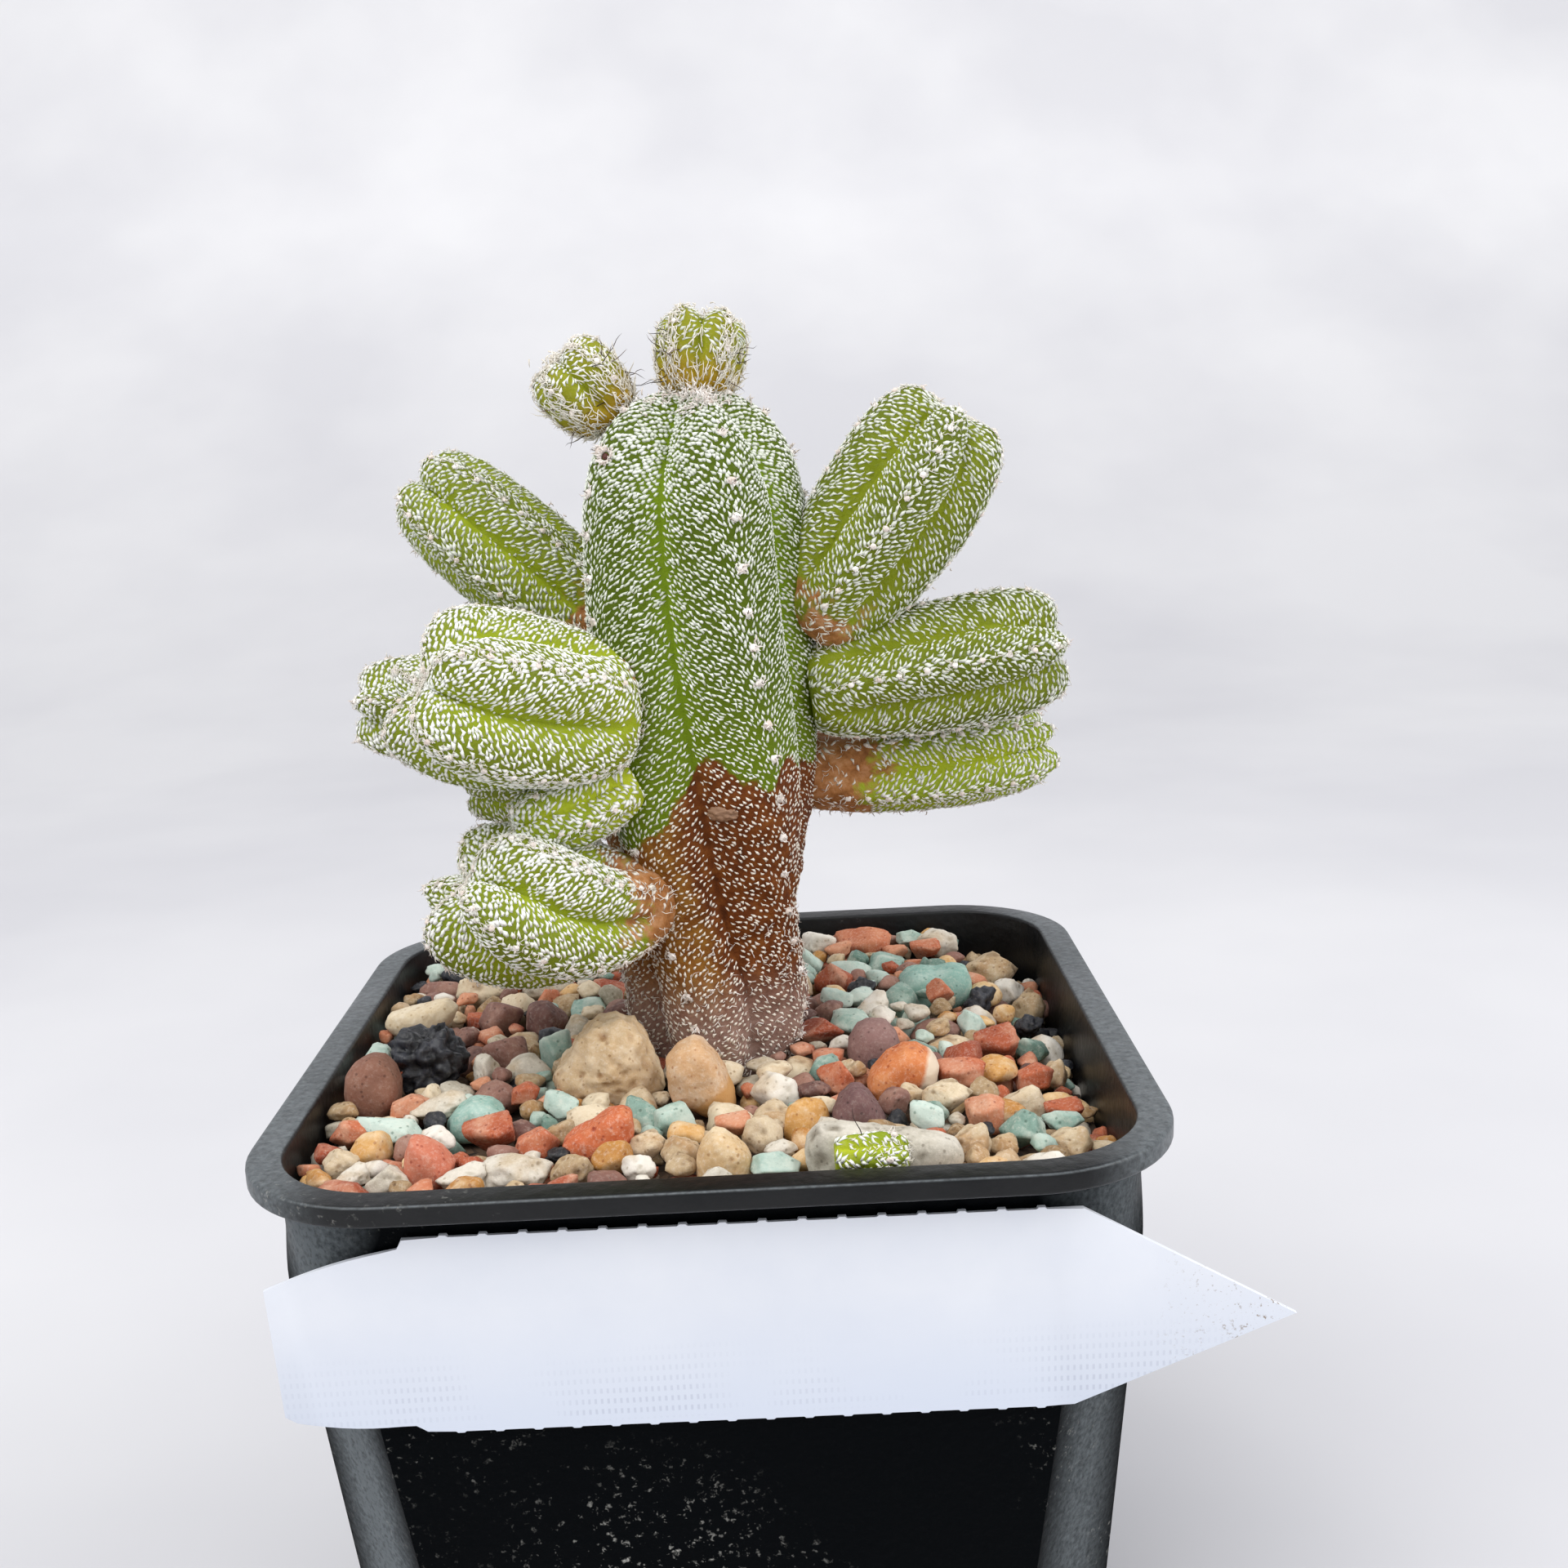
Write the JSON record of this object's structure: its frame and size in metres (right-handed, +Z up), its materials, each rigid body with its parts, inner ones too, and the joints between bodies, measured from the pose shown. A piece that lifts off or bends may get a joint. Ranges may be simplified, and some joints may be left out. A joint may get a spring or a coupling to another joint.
{
  "type": "potted bishops cap cactus",
  "caption": "Columnar bishop's cap cactus with pups, in a square black nursery pot topped with mixed gravel, with a blank white plant label on the front wall.",
  "frame": {"origin": "middle of the pot's flat underside", "axes": "+Z up along the plant, -Y towards the front wall with the label, +X to the right as seen from the front"},
  "size_m": [0.0991, 0.09, 0.1603],
  "materials": {
    "pot_plastic": "satin",
    "soil_mix": "matte",
    "mixed_gravel": "matte",
    "cream_stone": "matte",
    "tan_stone": "matte",
    "lava_stone": "matte",
    "brown_stone": "matte",
    "pumice_stone": "matte",
    "orange_stone": "matte",
    "purple_stone": "matte",
    "red_stone": "matte",
    "green_stone": "matte",
    "stem_skin": "matte",
    "pup_skin": "matte",
    "label_plastic": "satin"
  },
  "bodies": {
    "root": {"pot": "pot_plastic", "soil": "soil_mix", "gravel_bed": "mixed_gravel", "stone_cream_boulder": "cream_stone", "stone_tan_wedge": "tan_stone", "stone_lava_black": "lava_stone", "stone_brown_round": "brown_stone", "stone_pumice_pale": "pumice_stone", "stone_orange_banded": "orange_stone", "stone_purple_back": "purple_stone", "stone_purple_front": "purple_stone", "stone_red_block": "red_stone", "stone_red_wedge": "red_stone", "stone_green_slab": "green_stone", "stone_sand_face": "tan_stone", "stone_cream_long": "cream_stone", "stone_turquoise_rear": "green_stone", "main_stem": "stem_skin", "offset_upper_left": "pup_skin", "offset_mid_left": "pup_skin", "offset_mid_left_rear": "pup_skin", "offset_small_left": "pup_skin", "offset_lower_left": "pup_skin", "offset_lower_rear": "pup_skin", "offset_drooping_rear": "pup_skin", "offset_high_rear": "pup_skin", "offset_upper_right": "pup_skin", "offset_mid_right": "pup_skin", "offset_lower_right": "pup_skin", "offset_crown_left": "pup_skin", "offset_crown_right": "pup_skin", "offset_loose": "pup_skin", "plant_label": "label_plastic"}
  },
  "joints": []
}
